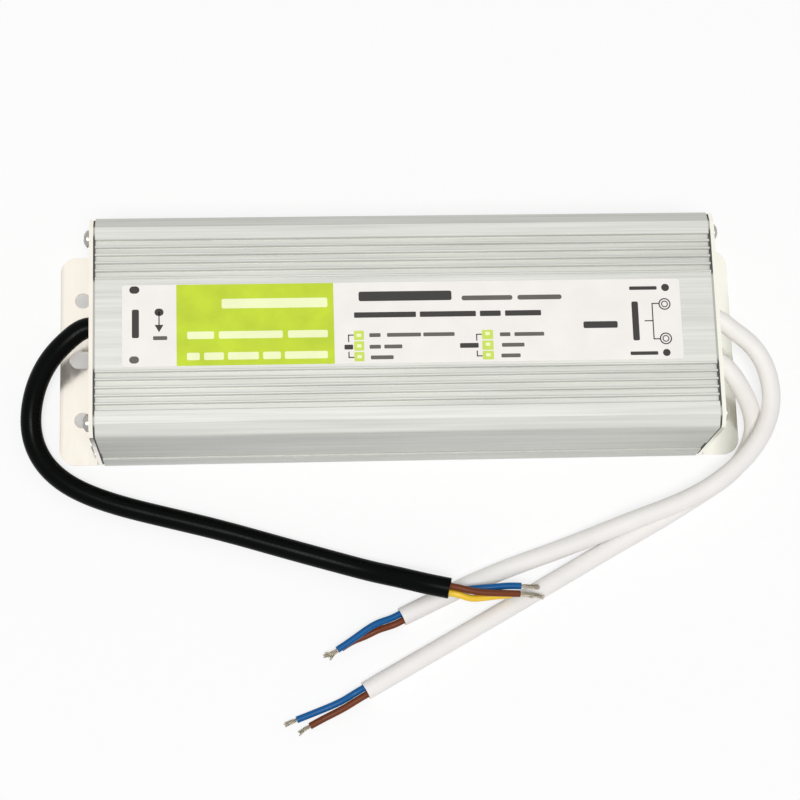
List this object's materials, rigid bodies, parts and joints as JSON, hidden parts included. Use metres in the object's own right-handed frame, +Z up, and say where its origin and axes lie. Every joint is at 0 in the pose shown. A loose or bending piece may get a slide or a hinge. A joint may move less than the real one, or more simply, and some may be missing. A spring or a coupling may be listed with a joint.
{
  "type": "led driver",
  "caption": "Potted LED driver: ribbed aluminium housing with folded mounting flanges, a printed label, and free input and output cords that end in bare wires.",
  "frame": {"origin": "centre of the base in plan, on the plane that the driver rests on; the free cords are left out", "axes": "+X along the housing towards the output end, +Y to the rear, away from the side that the cords lie on, +Z up from the base to the label"},
  "size_m": [0.237, 0.153, 0.042],
  "materials": {
    "anodised_aluminium": "satin",
    "label_film": "semi-gloss",
    "coated_sheet": "satin",
    "black_rubber": "matte",
    "grey_rubber": "matte",
    "white_rubber": "matte",
    "plated_steel": "satin",
    "potting": "matte",
    "insulation": "matte",
    "board_laminate": "satin",
    "fuse_body": "matte",
    "disc_coating": "gloss",
    "dark_coating": "satin",
    "film_case": "satin",
    "ferrite": "matte",
    "powder_core": "matte",
    "enamelled_wire": "gloss",
    "wound_tape": "satin",
    "moulding_compound": "matte",
    "can_sleeve": "satin",
    "spreader_bar": "satin",
    "lead_wire": "satin",
    "black_jacket": "satin",
    "white_jacket": "satin",
    "blue_insulation": "satin",
    "brown_insulation": "satin",
    "earth_insulation": "satin",
    "tinned_strands": "satin"
  },
  "bodies": {
    "root": {"housing": "anodised_aluminium", "rating_label": "label_film", "input_end_plate": "coated_sheet", "output_end_plate": "coated_sheet", "input_grommet": "black_rubber", "input_gasket": "grey_rubber", "output_gasket": "grey_rubber", "output_grommet_rear": "white_rubber", "output_grommet_front": "white_rubber", "input_end_screws": "plated_steel", "output_end_screws": "plated_steel", "potting_resin": "potting", "insulating_sheet": "insulation", "transformer_bobbin": "insulation", "circuit_board": "board_laminate", "fuse": "fuse_body", "surge_varistor": "disc_coating", "interference_capacitor": "disc_coating", "inrush_thermistor": "dark_coating", "suppression_capacitor": "film_case", "line_filter_core": "ferrite", "transformer_core": "ferrite", "output_choke_core": "powder_core", "line_filter_winding": "enamelled_wire", "output_choke_winding": "enamelled_wire", "transformer_winding": "wound_tape", "bridge_rectifier": "moulding_compound", "switching_transistor": "moulding_compound", "output_rectifier": "moulding_compound", "control_chip": "moulding_compound", "optocoupler": "moulding_compound", "bulk_capacitor": "can_sleeve", "output_capacitors": "can_sleeve", "primary_heat_spreader": "spreader_bar", "secondary_heat_spreader": "spreader_bar", "input_leads": "lead_wire", "output_leads": "lead_wire", "input_cord": "black_jacket", "output_cord_rear": "white_jacket", "output_cord_front": "white_jacket", "input_cord_blue_core": "blue_insulation", "output_cord_rear_blue_core": "blue_insulation", "output_cord_front_blue_core": "blue_insulation", "input_cord_brown_core": "brown_insulation", "output_cord_rear_brown_core": "brown_insulation", "output_cord_front_brown_core": "brown_insulation", "input_cord_earth_core": "earth_insulation", "input_cord_strands": "tinned_strands", "output_cord_rear_strands": "tinned_strands", "output_cord_front_strands": "tinned_strands"}
  },
  "joints": []
}
